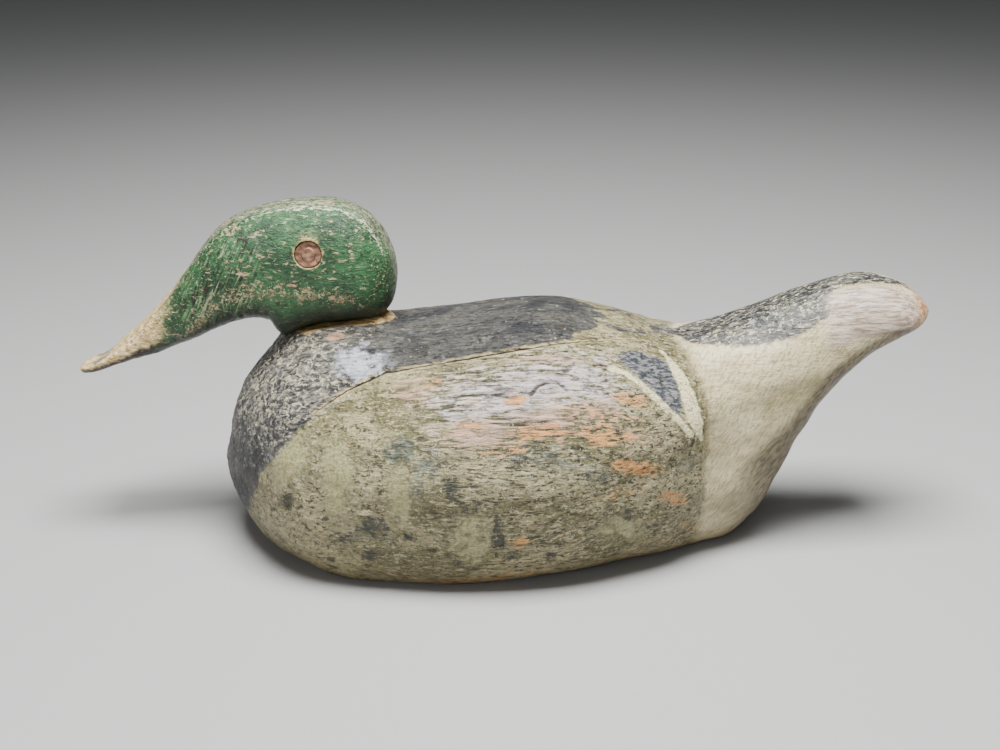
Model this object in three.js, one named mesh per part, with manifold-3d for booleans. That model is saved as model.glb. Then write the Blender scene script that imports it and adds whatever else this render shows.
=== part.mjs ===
// Carved wooden duck decoy, painted as a drake mallard.
// Millimetres, +Z up. The duck faces -X, its left side faces -Y and it stands on z = 0.
import * as THREE from 'three';
import { mergeVertices } from 'three/addons/utils/BufferGeometryUtils.js';
import Module from 'manifold-3d';

const { clamp, degToRad, lerp, smoothstep } = THREE.MathUtils;
const wasm = await Module();
wasm.setup();

// Driving dimensions
const OVERALL_LENGTH = 420;
const BODY_LENGTH = 350;
const BODY_WIDTH = 154;
const BACK_HEIGHT = 121;
const HEAD_LENGTH = 160;
const HEAD_WIDTH = 44;
const CROWN_HEIGHT = 175;

// Raised place on the back that the neck sits on, cut flat and sloping down towards the breast
const SEAT_LENGTH = 66;
const SEAT_WIDTH = 48;
const SEAT_SWELL = 7;
const SEAT_CENTRE = new THREE.Vector3(-82, 0, 116.3);
const SEAT_TILT = degToRad(9.5);

// Carved rear edge of the folded wings
const WING_END = { x: 96, height: 78, sweep: 30, drop: 46, step: 2.6, lip: 7, runOut: 50 };

// Round eye tacks, each in a shallow recess that leans back with the cheek
const EYE = { x: -89.5, height: 154.5, diameter: 12.4, rim: 1, dish: 0.5, button: 6.6, buttonRise: 0.8 };
const EYE_LEAN = degToRad(11);
const RECESS_DEPTH = 2.2;
const JOINT_GAP = 0.3;

const TAIL_TIP = OVERALL_LENGTH / 2;
const BREAST_TIP = TAIL_TIP - BODY_LENGTH;
const BILL_TIP = -OVERALL_LENGTH / 2;

// Outlines of the body as [share of its length from the breast, share of the size]:
// heights are shares of BACK_HEIGHT, half-widths are shares of half of BODY_WIDTH.
const BACK_LINE = [
  [0, 0.46], [0.03, 0.67], [0.06, 0.78], [0.094, 0.866], [0.14, 0.92], [0.19, 0.94], [0.25, 0.945],
  [0.34, 0.97], [0.48, 1], [0.57, 0.95], [0.655, 0.897], [0.74, 0.965], [0.82, 1.07], [0.905, 1.135],
  [1, 1.06],
];
const KEEL_LINE = [
  [0, 0.22], [0.03, 0.11], [0.065, 0], [0.115, -0.06], [0.182, -0.145], [0.26, -0.168], [0.33, -0.16],
  [0.489, -0.078], [0.6, -0.05], [0.69, -0.036], [0.745, 0], [0.761, 0.05], [0.783, 0.13], [0.806, 0.285],
  [0.829, 0.455], [0.8545, 0.61], [0.888, 0.745], [0.931, 0.87], [1, 0.97],
];
const BELT_LINE = [
  [0, 0.33], [0.085, 0.39], [0.23, 0.44], [0.45, 0.455], [0.574, 0.5], [0.6875, 0.58], [0.744, 0.65],
  [0.8, 0.745], [0.86, 0.86], [0.915, 0.95], [1, 1],
];
const BODY_PLAN = [
  [0, 0.5], [0.035, 0.6], [0.094, 0.76], [0.13, 0.84], [0.18, 0.91], [0.26, 0.97], [0.34, 1], [0.43, 0.99],
  [0.51, 0.93], [0.58, 0.82], [0.64, 0.7], [0.68, 0.58], [0.74, 0.455], [0.8, 0.375], [0.85, 0.335],
  [0.91, 0.325], [1, 0.32],
];

// How square a section of the body is above and below its widest line: 2 is an ellipse.
const SHOULDER_POWER = [[0, 2.1], [0.2, 1.95], [0.5, 2.2], [0.7, 2.3], [1, 2.4]];
const BILGE_POWER = [[0, 2], [0.12, 2.4], [0.26, 2.5], [0.7, 2.5], [0.8, 2.3], [1, 2.3]];

// The same for the head with its bill, as shares of HEAD_LENGTH from the bill tip,
// of CROWN_HEIGHT and of half of HEAD_WIDTH.
const CROWN_LINE = [
  [0, 0.52], [0.07, 0.5435], [0.14, 0.597], [0.206, 0.65], [0.275, 0.7115], [0.344, 0.785], [0.4125, 0.8665],
  [0.48, 0.9325], [0.544, 0.966], [0.606, 0.983], [0.72, 1.001], [0.8, 1.0025], [0.87, 0.996], [1, 0.986],
];
const JAW_LINE = [
  [0, 0.5], [0.04, 0.507], [0.08, 0.5155], [0.13, 0.5295], [0.19, 0.548], [0.256, 0.566], [0.325, 0.593],
  [0.3875, 0.6155], [0.4375, 0.6385], [0.48, 0.6555], [0.52, 0.6655], [0.605, 0.669], [0.62, 0.662],
  [0.637, 0.632], [0.655, 0.619], [0.69, 0.628], [0.72, 0.642], [0.8, 0.66], [0.9, 0.667], [1, 0.656],
];
const CHEEK_LINE = [
  [0, 0.515], [0.19, 0.588], [0.34, 0.668], [0.47, 0.749], [0.6, 0.8], [0.75, 0.817], [0.9, 0.806],
  [1, 0.794],
];
const HEAD_PLAN = [
  [0, 0.45], [0.1, 0.5], [0.2, 0.52], [0.3, 0.62], [0.375, 0.76], [0.45, 0.88], [0.55, 0.96], [0.7, 1],
  [0.85, 1], [1, 0.97],
];
const CROWN_POWER = 2.8;
const JAW_POWER = 2.5;

// Smooth curve through a row of stations, with the slope at each one taken from its neighbours.
function along(stations, share) {
  const last = stations.length - 1;
  let i = 0;
  while (i < last - 1 && share > stations[i + 1][0]) i += 1;
  const chord = (k) => (stations[k + 1][1] - stations[k][1]) / (stations[k + 1][0] - stations[k][0]);
  const slope = (k) => {
    if (k === 0) return chord(0);
    if (k === last) return chord(last - 1);
    const before = stations[k][0] - stations[k - 1][0];
    const after = stations[k + 1][0] - stations[k][0];
    return (chord(k - 1) * after + chord(k) * before) / (before + after);
  };
  const span = stations[i + 1][0] - stations[i][0];
  const t = (share - stations[i][0]) / span;
  const bend = t * t * (3 - 2 * t);
  const value = stations[i][1] * (1 - bend) + stations[i + 1][1] * bend;
  return value + span * (slope(i) * t * (1 - t) * (1 - t) - slope(i + 1) * t * t * (1 - t));
}

// Quarter-circle rounding of an end: 0 at the end itself, 1 from one radius inwards.
function rounded(distance, radius) {
  const inside = clamp(distance / radius, 0, 1);
  return Math.sqrt(1 - (1 - inside) ** 2);
}

// Closed skin over rings of sections, made from a ball whose poles become the two ends.
// Rings crowd towards both ends, where the forms curve most.
function carvedForm(rings, sides, crowding, surfaceAt) {
  const ball = new THREE.SphereGeometry(1, sides, rings);
  const position = ball.attributes.position;
  for (let i = 0; i < position.count; i += 1) {
    const polar = Math.acos(clamp(position.getY(i), -1, 1)) / Math.PI;
    const turn = Math.atan2(-position.getZ(i), position.getX(i));
    const share = lerp(polar, (1 - Math.cos(Math.PI * polar)) / 2, crowding);
    const p = surfaceAt(share, turn);
    position.setXYZ(i, p.x, p.y, p.z);
  }
  return ball;
}

// Point on a rounded section: turn 0 is the left side, a quarter turn is the top.
function sectionPoint(x, section, turn) {
  const up = Math.sin(turn) > 0;
  const power = up ? section.upperPower : section.lowerPower;
  const rise = up ? section.top - section.belt : section.belt - section.bottom;
  const across = Math.abs(Math.cos(turn)) ** (2 / power);
  const height = Math.abs(Math.sin(turn)) ** (2 / power);
  return new THREE.Vector3(
    x,
    -Math.sign(Math.cos(turn)) * section.halfWidth * across,
    section.belt + Math.sign(Math.sin(turn)) * rise * height,
  );
}

function bodySection(share) {
  const fromBreast = share * BODY_LENGTH;
  const fromTail = BODY_LENGTH - fromBreast;
  const ends = rounded(fromBreast, 12) * rounded(fromTail, 12);
  const belt = BACK_HEIGHT * along(BELT_LINE, share);
  return {
    belt,
    top: belt + (BACK_HEIGHT * along(BACK_LINE, share) - belt) * ends,
    bottom: belt + (BACK_HEIGHT * along(KEEL_LINE, share) - belt) * ends,
    halfWidth: (BODY_WIDTH / 2) * along(BODY_PLAN, share) * rounded(fromBreast, 45) * rounded(fromTail, 24),
    upperPower: along(SHOULDER_POWER, share),
    lowerPower: along(BILGE_POWER, share),
  };
}

// How far forward the rear edge of a wing has swept at a height.
function wingSweep(height) {
  return WING_END.sweep * Math.max((height - WING_END.height) / WING_END.drop, 0) ** 2;
}

// The body and tail, with the swelling under the neck and the step behind each wing.
// Rings near the wing ends lean forward with their swept edge, so that they run along it.
function bodySurface(share, turn) {
  const upright = sectionPoint(0, bodySection(share), turn);
  const nearWingEnd = smoothstep(share, 0.45, 0.65) * (1 - smoothstep(share, 0.72, 0.9));
  const leaning = share - (nearWingEnd * wingSweep(upright.z)) / BODY_LENGTH;
  const p = sectionPoint(BREAST_TIP + leaning * BODY_LENGTH, bodySection(leaning), turn);
  const reach = ((p.x - SEAT_CENTRE.x) / (SEAT_LENGTH / 2)) ** 2 + (p.y / (SEAT_WIDTH / 2)) ** 2;
  if (Math.sin(turn) > 0 && reach < 1) p.z += SEAT_SWELL * (1 - reach ** 2);
  const behind = p.x - WING_END.x + wingSweep(p.z);
  const fromHeight = Math.abs(p.z - WING_END.height);
  const carved = smoothstep(behind, 0, WING_END.lip)
    * (1 - smoothstep(behind, WING_END.lip, WING_END.runOut))
    * (1 - smoothstep(fromHeight, 0.35 * WING_END.drop, WING_END.drop));
  p.y -= Math.sign(p.y) * WING_END.step * carved;
  return p;
}

function headSection(share) {
  const fromBill = share * HEAD_LENGTH;
  const fromNape = HEAD_LENGTH - fromBill;
  const tip = rounded(fromBill, 4);
  const belt = CROWN_HEIGHT * along(CHEEK_LINE, share);
  return {
    belt,
    top: belt + (CROWN_HEIGHT * along(CROWN_LINE, share) - belt) * tip * rounded(fromNape, 30),
    bottom: belt + (CROWN_HEIGHT * along(JAW_LINE, share) - belt) * tip * rounded(fromNape, 15),
    halfWidth: (HEAD_WIDTH / 2) * along(HEAD_PLAN, share) * rounded(fromBill, 9) * rounded(fromNape, 26),
    upperPower: CROWN_POWER,
    lowerPower: JAW_POWER,
  };
}

function headSurface(share, turn) {
  return sectionPoint(BILL_TIP + share * HEAD_LENGTH, headSection(share), turn);
}

// A closed mesh becomes a solid once its shared corners are merged.
function solidOf(geometry) {
  const bare = geometry.clone();
  bare.deleteAttribute('normal');
  bare.deleteAttribute('uv');
  const merged = mergeVertices(bare, 1e-5);
  return new wasm.Manifold(new wasm.Mesh({
    numProp: 3,
    vertProperties: new Float32Array(merged.attributes.position.array),
    triVerts: new Uint32Array(merged.index.array),
  }));
}

function meshOf(name, solid, material) {
  const { vertProperties, triVerts } = solid.getMesh();
  const geometry = new THREE.BufferGeometry();
  geometry.setAttribute('position', new THREE.BufferAttribute(vertProperties, 3));
  geometry.setIndex(new THREE.BufferAttribute(triVerts, 1));
  geometry.computeVertexNormals();
  const mesh = new THREE.Mesh(geometry, material);
  mesh.name = name;
  return mesh;
}

// Block standing on the flat of the seat, to cut that flat with.
function aboveSeat() {
  const size = 100;
  const block = new THREE.BoxGeometry(size, size, size);
  block.translate(0, 0, size / 2);
  block.rotateY(-SEAT_TILT);
  block.translate(SEAT_CENTRE.x, SEAT_CENTRE.y, SEAT_CENTRE.z);
  return solidOf(block);
}

function bodySolid() {
  const underGround = new THREE.BoxGeometry(2 * OVERALL_LENGTH, OVERALL_LENGTH, BACK_HEIGHT);
  underGround.translate(0, 0, -BACK_HEIGHT / 2);
  return solidOf(carvedForm(60, 46, 0.6, bodySurface)).subtract(aboveSeat()).subtract(solidOf(underGround));
}

// Turns a lathed or round shape, made along +Y from the recess floor, out of one cheek.
// Side -1 is the left cheek, 1 the right one.
function ontoCheek(geometry, side, lift) {
  const section = headSection((EYE.x - BILL_TIP) / HEAD_LENGTH);
  const height = (EYE.height - section.belt) / (section.top - section.belt);
  const cheek = section.halfWidth * (1 - height ** CROWN_POWER) ** (1 / CROWN_POWER);
  geometry.translate(0, lift - RECESS_DEPTH, 0);
  geometry.rotateX(side > 0 ? EYE_LEAN : Math.PI - EYE_LEAN);
  geometry.translate(EYE.x, side * cheek, EYE.height);
  return geometry;
}

function eyeRecess(side) {
  const depth = 8;
  const radius = EYE.diameter / 2 + JOINT_GAP;
  const drill = new THREE.CylinderGeometry(radius, radius, depth, 24);
  return solidOf(ontoCheek(drill, side, depth / 2));
}

// A round tack with a raised rim and a low button in its dished middle.
function eyeTack(side) {
  const radius = EYE.diameter / 2;
  const button = EYE.button / 2;
  const profile = [
    [0, 0], [radius, 0], [radius, EYE.rim * 0.7], [radius * 0.93, EYE.rim],
    [button * 1.1, EYE.dish], [button, EYE.dish + EYE.buttonRise * 0.5],
    [button * 0.7, EYE.dish + EYE.buttonRise], [0, EYE.dish + EYE.buttonRise],
  ];
  const tack = new THREE.LatheGeometry(profile.map(([r, y]) => new THREE.Vector2(r, y)), 24);
  return ontoCheek(tack, side, JOINT_GAP);
}

// The neck is scribed to the seat, so the head is cut by the body moved up by the joint gap.
function headSolid(body) {
  const lifted = body.translate([-JOINT_GAP * Math.sin(SEAT_TILT), 0, JOINT_GAP * Math.cos(SEAT_TILT)]);
  const scribed = solidOf(carvedForm(56, 28, 0.4, headSurface)).subtract(lifted).subtract(body);
  return scribed.subtract(eyeRecess(-1)).subtract(eyeRecess(1));
}

const bodyPaint = new THREE.MeshStandardMaterial({ color: 0x8f8b6c, roughness: 0.6, metalness: 0 });
const headPaint = new THREE.MeshStandardMaterial({ color: 0x2d5a3b, roughness: 0.5, metalness: 0 });
const copper = new THREE.MeshStandardMaterial({ color: 0x8a6548, roughness: 0.45, metalness: 0.8 });

const body = bodySolid();
const group = new THREE.Group();
group.add(meshOf('body', body, bodyPaint));
group.add(meshOf('head', headSolid(body), headPaint));
group.add(meshOf('left_eye_tack', solidOf(eyeTack(-1)), copper));
group.add(meshOf('right_eye_tack', solidOf(eyeTack(1)), copper));

export default group;
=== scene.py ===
"""Carved wooden duck decoy in worn drake mallard paint, standing on a pale floor."""

import math

import bpy
import numpy as np
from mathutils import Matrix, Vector, noise


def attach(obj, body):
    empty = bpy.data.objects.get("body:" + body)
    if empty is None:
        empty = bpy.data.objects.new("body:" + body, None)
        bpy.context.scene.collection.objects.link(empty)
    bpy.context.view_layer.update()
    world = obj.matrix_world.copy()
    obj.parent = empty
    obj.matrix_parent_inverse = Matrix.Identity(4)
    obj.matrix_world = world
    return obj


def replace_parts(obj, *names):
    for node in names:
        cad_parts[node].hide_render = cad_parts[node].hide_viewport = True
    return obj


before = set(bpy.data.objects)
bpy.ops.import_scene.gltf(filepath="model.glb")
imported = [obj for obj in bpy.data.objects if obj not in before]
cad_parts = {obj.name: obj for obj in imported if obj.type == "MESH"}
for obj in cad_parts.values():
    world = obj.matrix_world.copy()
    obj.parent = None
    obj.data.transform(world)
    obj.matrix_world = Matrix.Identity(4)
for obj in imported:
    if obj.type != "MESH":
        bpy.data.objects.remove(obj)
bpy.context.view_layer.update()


# Studio: the camera stands level on the duck's left side and looks down on it a little.
# A wide soft light hangs overhead, with a weaker one in front, over a pale floor.
camera = bpy.data.objects.new("camera", bpy.data.cameras.new("camera"))
camera.location = (0, -0.5765, 0.3238)
camera.rotation_euler = (math.radians(67.5), 0, 0)
camera.data.lens = 44.64
camera.data.clip_start = 0.01
bpy.context.scene.collection.objects.link(camera)
bpy.context.scene.camera = camera


def soft_light(name, place, aim, width, depth, power):
    lamp = bpy.data.lights.new(name, "AREA")
    lamp.shape = "RECTANGLE"
    lamp.size = width
    lamp.size_y = depth
    lamp.energy = power
    light = bpy.data.objects.new(name, lamp)
    light.location = place
    light.rotation_euler = (Vector(aim) - Vector(place)).to_track_quat("-Z", "Y").to_euler()
    bpy.context.scene.collection.objects.link(light)


soft_light("overhead_light", (0.03, -0.2, 1.05), (0, 0, 0.08), 0.6, 0.4, 36)
soft_light("front_light", (-0.5, -1.3, 0.7), (0, 0, 0.08), 0.7, 0.7, 4)
sky = bpy.data.worlds.new("sky")
sky.use_nodes = True
sky.node_tree.nodes["Background"].inputs["Color"].default_value = (0.8, 0.82, 0.85, 1)
sky.node_tree.nodes["Background"].inputs["Strength"].default_value = 0.12
bpy.context.scene.world = sky

bpy.ops.mesh.primitive_plane_add(size=14)
floor = bpy.context.object
floor.name = "floor"
floor_paint = bpy.data.materials.new("floor_paint")
floor_paint.use_nodes = True
floor_paint.node_tree.nodes["Principled BSDF"].inputs["Base Color"].default_value = (0.4, 0.4, 0.395, 1)
floor_paint.node_tree.nodes["Principled BSDF"].inputs["Roughness"].default_value = 0.9
floor.data.materials.append(floor_paint)


# Body: one block of softwood, carved round with a flat bottom, an upswept tail and a raised seat
# for the neck, then painted. It repeats the CAD body's form with the tool marks, the weathered
# grain, the drying crack and the worn paint added. All sizes here are in millimetres.
MM = 0.001
BODY_LENGTH = 350
BODY_WIDTH = 154
BACK_HEIGHT = 121
BREAST_TIP = -140
BACK_LINE = [
    (0, 0.46), (0.03, 0.67), (0.06, 0.78), (0.094, 0.866), (0.14, 0.92), (0.19, 0.94), (0.25, 0.945),
    (0.34, 0.97), (0.48, 1), (0.57, 0.95), (0.655, 0.897), (0.74, 0.965), (0.82, 1.07), (0.905, 1.135),
    (1, 1.06),
]
KEEL_LINE = [
    (0, 0.22), (0.03, 0.11), (0.065, 0), (0.115, -0.06), (0.182, -0.145), (0.26, -0.168), (0.33, -0.16),
    (0.489, -0.078), (0.6, -0.05), (0.69, -0.036), (0.745, 0), (0.761, 0.05), (0.783, 0.13),
    (0.806, 0.285), (0.829, 0.455), (0.8545, 0.61), (0.888, 0.745), (0.931, 0.87), (1, 0.97),
]
BELT_LINE = [
    (0, 0.33), (0.085, 0.39), (0.23, 0.44), (0.45, 0.455), (0.574, 0.5), (0.6875, 0.58), (0.744, 0.65),
    (0.8, 0.745), (0.86, 0.86), (0.915, 0.95), (1, 1),
]
BODY_PLAN = [
    (0, 0.5), (0.035, 0.6), (0.094, 0.76), (0.13, 0.84), (0.18, 0.91), (0.26, 0.97), (0.34, 1),
    (0.43, 0.99), (0.51, 0.93), (0.58, 0.82), (0.64, 0.7), (0.68, 0.58), (0.74, 0.455), (0.8, 0.375),
    (0.85, 0.335), (0.91, 0.325), (1, 0.32),
]
SHOULDER_POWER = [(0, 2.1), (0.2, 1.95), (0.5, 2.2), (0.7, 2.3), (1, 2.4)]
BILGE_POWER = [(0, 2), (0.12, 2.4), (0.26, 2.5), (0.7, 2.5), (0.8, 2.3), (1, 2.3)]
SEAT_X, SEAT_Z = -82, 116.3
SEAT_SLOPE = math.tan(math.radians(9.5))
SEAT_LENGTH, SEAT_WIDTH, SEAT_SWELL = 66, 48, 7
WING_X, WING_Z = 96, 78
WING_SWEEP, WING_DROP = 30, 46
WING_STEP, WING_LIP, WING_RUN_OUT = 2.6, 3.5, 50


def smoothstep(value, low, high):
    t = np.clip((value - low) / (high - low), 0, 1)
    return t * t * (3 - 2 * t)


def along(stations, share):
    """Smooth curve through a row of stations, with each slope taken from the neighbours."""
    at, value = np.array(stations, float).T
    gap = np.diff(at)
    chord = np.diff(value) / gap
    inner = (chord[:-1] * gap[1:] + chord[1:] * gap[:-1]) / (gap[:-1] + gap[1:])
    slope = np.concatenate([chord[:1], inner, chord[-1:]])
    i = np.clip(np.searchsorted(at, share) - 1, 0, len(at) - 2)
    t = (share - at[i]) / gap[i]
    bend = t * t * (3 - 2 * t)
    level = value[i] * (1 - bend) + value[i + 1] * bend
    return level + gap[i] * (slope[i] * t * (1 - t) ** 2 - slope[i + 1] * t * t * (1 - t))


def rounded(distance, radius):
    return np.sqrt(1 - (1 - np.clip(distance / radius, 0, 1)) ** 2)


def section_point(section, turn):
    """Point on a rounded section: turn 0 is the left side, a quarter turn is the top."""
    up = np.sin(turn) > 0
    power = np.where(up, section["upper_power"], section["lower_power"])
    rise = np.where(up, section["top"] - section["belt"], section["belt"] - section["bottom"])
    across = section["half_width"] * np.abs(np.cos(turn)) ** (2 / power)
    height = rise * np.abs(np.sin(turn)) ** (2 / power)
    return -np.sign(np.cos(turn)) * across, section["belt"] + np.sign(np.sin(turn)) * height


def body_section(share):
    from_breast = share * BODY_LENGTH
    from_tail = BODY_LENGTH - from_breast
    ends = rounded(from_breast, 12) * rounded(from_tail, 12)
    belt = BACK_HEIGHT * along(BELT_LINE, share)
    plan = along(BODY_PLAN, share) * rounded(from_breast, 45) * rounded(from_tail, 24)
    return {
        "belt": belt,
        "top": belt + (BACK_HEIGHT * along(BACK_LINE, share) - belt) * ends,
        "bottom": belt + (BACK_HEIGHT * along(KEEL_LINE, share) - belt) * ends,
        "half_width": BODY_WIDTH / 2 * plan,
        "upper_power": along(SHOULDER_POWER, share),
        "lower_power": along(BILGE_POWER, share),
    }


def wing_sweep(z):
    return WING_SWEEP * np.maximum((z - WING_Z) / WING_DROP, 0) ** 2


def seat_swelling(x, y):
    reach = ((x - SEAT_X) / (SEAT_LENGTH / 2)) ** 2 + (y / (SEAT_WIDTH / 2)) ** 2
    return np.where(reach < 1, SEAT_SWELL * (1 - reach**2), 0)


def body_surface(share, turn):
    _, upright = section_point(body_section(share), turn)
    near_wing_end = smoothstep(share, 0.45, 0.65) * (1 - smoothstep(share, 0.72, 0.9))
    leaning = share - near_wing_end * wing_sweep(upright) / BODY_LENGTH
    x = BREAST_TIP + leaning * BODY_LENGTH
    y, z = section_point(body_section(leaning), turn)
    z = z + np.where(np.sin(turn) > 0, seat_swelling(x, y), 0)
    behind = x - WING_X + wing_sweep(z)
    carved = smoothstep(behind, 0, WING_LIP) * (1 - smoothstep(behind, WING_LIP, WING_RUN_OUT))
    carved = carved * (1 - smoothstep(np.abs(z - WING_Z), 0.35 * WING_DROP, WING_DROP))
    return np.stack([x, y - np.sign(y) * WING_STEP * carved, z], -1)


def even_shares(length, nose, end, swell, rings):
    """Places of the rings along a form, closer where its rounded ends turn."""
    fine = (1 - np.cos(np.linspace(0, math.pi, 8001))) / 2
    girth = swell * (rounded(fine * length, nose) * rounded((1 - fine) * length, end))
    run = np.concatenate([[0], np.cumsum(np.hypot(np.diff(fine * length), np.diff(girth)))])
    return np.interp(np.linspace(0, run[-1], rings + 1), run, fine)


def skin(surface, shares, sides, importance):
    """Closed grid over a form, with the sides spread by how much each place matters.
    Gives its points, its faces, and each point's girth: the way down from the top centre line,
    measured over the surface, positive on the left side."""
    turns = np.radians(np.linspace(-90, 270, 1081))
    s, t = np.meshgrid(shares[1:-1], turns, indexing="ij")
    p = surface(s, t)
    step = np.linalg.norm(np.diff(p, axis=1), axis=-1)
    middle = (p[:, 1:] + p[:, :-1]) / 2
    start = np.zeros((len(step), 1))
    length = np.concatenate([start, np.cumsum(step, 1)], 1)
    weight = np.concatenate([start, np.cumsum(step * importance(middle), 1)], 1)
    spread = np.linspace(0, 1, sides, endpoint=False)
    at = np.array([np.interp(spread * w[-1], w, turns) for w in weight])
    girth = np.array([np.interp(a, turns, run) for a, run in zip(at, length)])
    top = np.array([np.interp(math.pi / 2, turns, run) for run in length])
    girth = top[:, None] - girth
    s, _ = np.meshgrid(shares[1:-1], spread, indexing="ij")
    grid = surface(s, at).reshape(-1, 3)
    poles = surface(shares[[0, -1]], np.array([0.0, 0.0]))
    points = np.concatenate([grid, poles])
    rings = len(shares) - 2
    i, j = np.meshgrid(np.arange(rings - 1), np.arange(sides), indexing="ij")
    here, nxt = i * sides + j, i * sides + (j + 1) % sides
    quads = np.stack([here, here + sides, nxt + sides, nxt], -1).reshape(-1, 4)
    j = np.arange(sides)
    first, last = rings * sides, rings * sides + 1
    breast = np.stack([j, (j + 1) % sides, np.full(sides, first)], -1)
    base = (rings - 1) * sides
    tail = np.stack([base + (j + 1) % sides, base + j, np.full(sides, last)], -1)
    faces = quads.tolist() + breast.tolist() + tail.tolist()
    return points, faces, np.concatenate([girth.ravel(), [0, 0]])


def mesh_piece(name, points, faces):
    mesh = bpy.data.meshes.new(name)
    mesh.from_pydata((points * MM).tolist(), [], faces)
    mesh.shade_smooth()
    piece = bpy.data.objects.new(name, mesh)
    bpy.context.scene.collection.objects.link(piece)
    return piece


def normals_of(piece):
    normal = np.zeros(len(piece.data.vertices) * 3)
    piece.data.vertices.foreach_get("normal", normal)
    return normal.reshape(-1, 3)


def move_points(piece, points):
    piece.data.vertices.foreach_set("co", (points * MM).ravel())
    piece.data.update()


def lumps(points, size, seed=0):
    """Even noise from about -1 to 1, with lumps of the given size along X, Y and Z."""
    places = points / np.array(size, float) + seed * 17.3
    return np.array([noise.noise(Vector(place)) for place in places.tolist()]) * 1.6


def line_distance(x, g, line):
    """Distance from a line of (x, girth) points, and the share of its length at the nearest point."""
    best, share = np.full(len(x), 1e9), np.zeros(len(x))
    ends = np.array(line, float)
    lengths = np.linalg.norm(np.diff(ends, axis=0), axis=1)
    for i, (a, b) in enumerate(zip(ends[:-1], ends[1:])):
        d = b - a
        t = np.clip(((x - a[0]) * d[0] + (g - a[1]) * d[1]) / (d @ d), 0, 1)
        away = np.hypot(x - a[0] - t * d[0], g - a[1] - t * d[1])
        nearer = away < best
        best = np.where(nearer, away, best)
        share = np.where(nearer, (lengths[:i].sum() + t * lengths[i]) / lengths.sum(), share)
    return best, share


def inside_distance(x, g, outline):
    """How deep inside a closed outline each point lies, negative outside."""
    away, _ = line_distance(x, g, outline + outline[:1])
    inside = np.zeros(len(x), bool)
    for (ax, ag), (bx, bg) in zip(outline, outline[1:] + outline[:1]):
        if ag != bg:
            inside ^= ((ag > g) != (bg > g)) & (x < (bx - ax) * (g - ag) / (bg - ag) + ax)
    return np.where(inside, away, -away)


def patches(x, g, spots):
    """Soft round patches from 0 to 1: each is (x, girth, half length, half height, strength)."""
    total = np.zeros(len(x))
    for cx, cg, along_x, along_g, strength in spots:
        reach = np.hypot((x - cx) / along_x, (g - cg) / along_g)
        total = np.maximum(total, strength * np.clip(1.5 - reach, 0, 1))
    return total


def store(piece, name, values):
    attribute = piece.data.attributes.new(name, "FLOAT", "POINT")
    attribute.data.foreach_set("value", values.astype(np.float32))


def body_importance(middle):
    seen = np.where(middle[..., 1] < 0, 1.0, 0.5)
    return np.where(middle[..., 2] > 0, seen, 0.12)


body_points, body_faces, girth = skin(
    body_surface, even_shares(BODY_LENGTH, 14, 12, 55, 450), 214, body_importance
)
body = mesh_piece("carved_body", body_points, body_faces)
body_normals = normals_of(body)
x, y, z = body_points.T
left = girth > 0
g = np.abs(girth)

# Drying crack that also parts the black back from the side, on the left only
CRACK = [(-86, 64), (-74, 57), (-61, 49), (-54, 43), (-42, 42), (-12, 40), (14, 38), (28, 35), (47, 28), (72, 17)]
crack_away, crack_share = line_distance(x, girth, CRACK)
crack_open = np.interp(crack_share, [0, 0.1, 0.22, 0.3, 0.6, 0.85, 1], [0.2, 0.6, 1, 0.6, 0.8, 0.4, 0])

# How rough the weather and handling have left each place
rump = x - WING_X + wing_sweep(z)
SMOOTH_PATCHES = [
    (-97, 81, 10, 13, 1), (-75, 95, 8, 22, 1), (-46, 106, 6, 17, 0.9), (-12, 134, 13, 16, 0.8),
    (59, 128, 15, 10, 0.7), (-66, 40, 12, 13, 0.9),
]
smooth = patches(x, girth, SMOOTH_PATCHES)
# Worn shoulder of the side, whose pale paint is partly a painted highlight
WORN = [(-28, 57), (-9, 54), (18, 47), (46, 43), (56, 62), (27, 71), (0, 79), (-25, 74)]
worn = inside_distance(x, girth, WORN)
rough = (1 - 0.8 * smoothstep(rump, -4, 10)) * (1 - 0.75 * np.clip(smooth, 0, 1))

facets = 0.45 * lumps(body_points, (34, 13, 13), 1) + 0.25 * lumps(body_points, (16, 8, 8), 2)
grain = 0.2 * lumps(body_points, (16, 2.6, 2.6), 3) + 0.12 * lumps(body_points, (7, 1.7, 1.7), 4)
pits = -0.45 * np.clip(lumps(body_points, (5, 2.4, 2.4), 5) - 0.35, 0, 1)
relief = facets + rough * (grain + pits)
relief -= 1.5 * crack_open * np.exp(-((crack_away / 1.1) ** 2))

# Gouges and a knot hollow in the worn upper side, left side only
groove_away, groove_share = line_distance(x, girth, [(-15, 66), (-5, 63), (12, 60.5)])
relief -= 1.4 * np.sin(math.pi * np.clip(groove_share, 0.06, 0.94)) * np.exp(-((groove_away / 1.5) ** 2))
hollow = np.hypot((x - 7) / 6, (girth - 66) / 3.4)
relief -= 1.5 * np.exp(-(hollow**2))
curved_away, _ = line_distance(x, girth, [(14, 64), (17, 60), (21, 58), (26, 57.5), (31, 61)])
relief -= 1.1 * np.exp(-((curved_away / 1.1) ** 2))
relief -= 0.7 * np.exp(-(np.hypot((x - 23) / 7, (girth - 63) / 3.5) ** 4))
scored = np.minimum(groove_away + 1.5 * np.abs(groove_share - 0.5), curved_away)

# Nicks: one low on the breast and one under the wing end
relief -= 1.2 * np.exp(-(np.hypot((x + 100) / 2.2, (girth - 103) / 4.5) ** 2))
relief -= 1.2 * np.exp(-(np.hypot((x - 98) / 1.2, (girth - 68) / 3.5) ** 2))

# Break at the front edge of the neck seat
relief -= 1.6 * np.exp(-(np.hypot((x + 85) / 9, (girth - 23) / 2.6) ** 2))


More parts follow.
